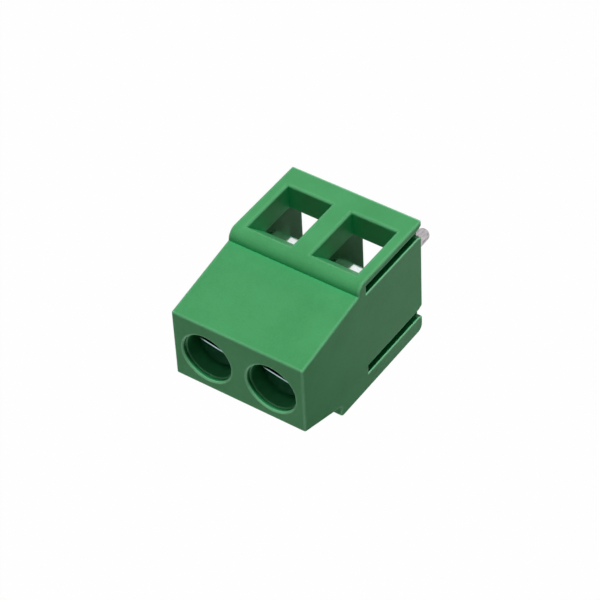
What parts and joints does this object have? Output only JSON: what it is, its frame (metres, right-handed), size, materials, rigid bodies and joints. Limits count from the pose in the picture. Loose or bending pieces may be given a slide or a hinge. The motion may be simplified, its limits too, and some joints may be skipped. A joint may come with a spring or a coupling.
{
  "type": "pcb screw terminal",
  "caption": "Board-mounted screw terminal block with rising cage clamps, screwdriver bores on top, wire windows in front and round solder pins.",
  "frame": {"origin": "middle of the pin row, on the face that seats on the board", "axes": "+Z away from the board towards the screws, +X along the row of poles, and the wires enter along +Y through the face that looks along -Y"},
  "size_m": [0.0104, 0.0099, 0.0186],
  "materials": {
    "housing": "moulded, satin",
    "screw": "zinc plated, bluish",
    "cage": "nickel plated",
    "contact": "brass, tin plated"
  },
  "bodies": {
    "root": {"housing": "housing", "contact_bar_1": "contact", "solder_pin_1": "contact", "contact_bar_2": "contact", "solder_pin_2": "contact"},
    "screw_1": {"clamp_screw_1": "screw"},
    "cage_1": {"clamp_cage_1": "cage"},
    "screw_2": {"clamp_screw_2": "screw"},
    "cage_2": {"clamp_cage_2": "cage"}
  },
  "joints": [
    {"name": "screw_turn_1", "type": "hinge", "parent": "root", "child": "screw_1", "pos_m": [-0.00254, -0.00076, 0.0125], "axis": [0, 0, 1], "range_deg": [0, 1921]},
    {"name": "cage_slide_1", "type": "slide", "parent": "root", "child": "cage_1", "axis": [0, 0, 1], "range_m": [-0.0024, 0]},
    {"name": "screw_turn_2", "type": "hinge", "parent": "root", "child": "screw_2", "pos_m": [0.00254, -0.00076, 0.0125], "axis": [0, 0, 1], "range_deg": [0, 1921]},
    {"name": "cage_slide_2", "type": "slide", "parent": "root", "child": "cage_2", "axis": [0, 0, 1], "range_m": [-0.0024, 0]}
  ],
  "couplings": [
    {"joint": "screw_turn_1", "follows": "cage_slide_1", "rad_per_m": -13963},
    {"joint": "screw_turn_2", "follows": "cage_slide_2", "rad_per_m": -13963}
  ]
}
